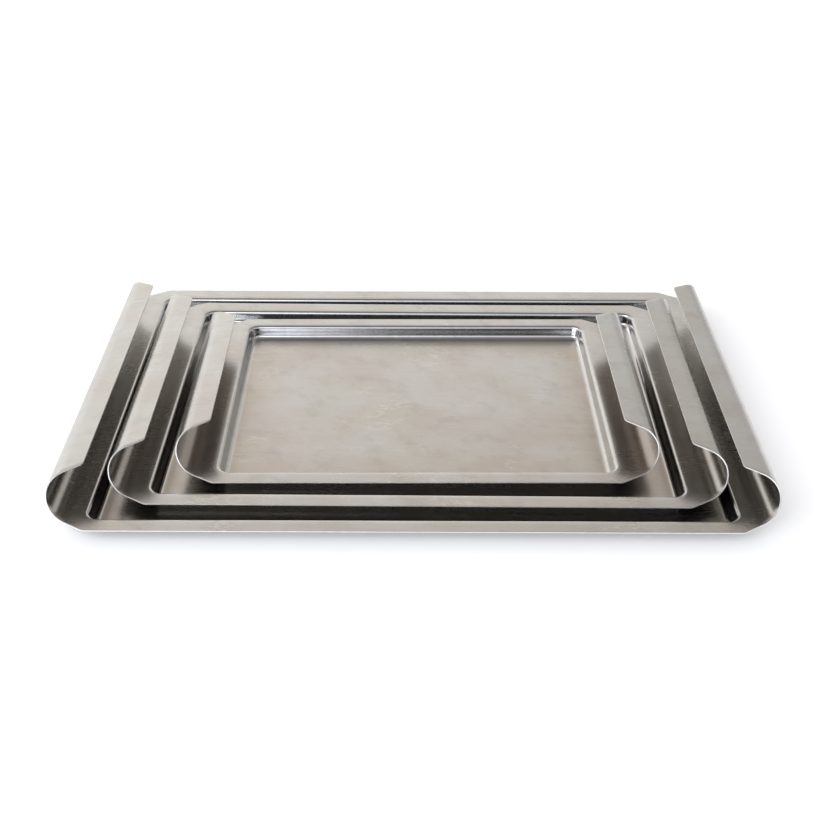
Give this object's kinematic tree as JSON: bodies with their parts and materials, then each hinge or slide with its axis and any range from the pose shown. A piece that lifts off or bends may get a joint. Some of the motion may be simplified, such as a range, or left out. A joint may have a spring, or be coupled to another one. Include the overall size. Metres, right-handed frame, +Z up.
{
  "type": "nesting tray set",
  "caption": "Nesting rectangular metal trays with a shallow pressed well, a flat flange and short ends rolled up and inwards as handles.",
  "frame": {"origin": "under the middle of the large tray, on the surface it stands on", "axes": "+X along the trays' length, from one rolled end to the other; +Y to the back; +Z up out of the wells"},
  "size_m": [0.5, 0.338, 0.0396],
  "materials": {
    "satin_steel": "satin, worn by use"
  },
  "bodies": {
    "large": {"large_tray": "satin_steel"},
    "medium": {"medium_tray": "satin_steel"},
    "small": {"small_tray": "satin_steel"}
  },
  "joints": [
    {"name": "medium_lift", "type": "slide", "parent": "large", "child": "medium", "axis": [0, 0, 1], "range_m": [0, 0.06]},
    {"name": "small_lift", "type": "slide", "parent": "medium", "child": "small", "axis": [0, 0, 1], "range_m": [0, 0.06]}
  ]
}
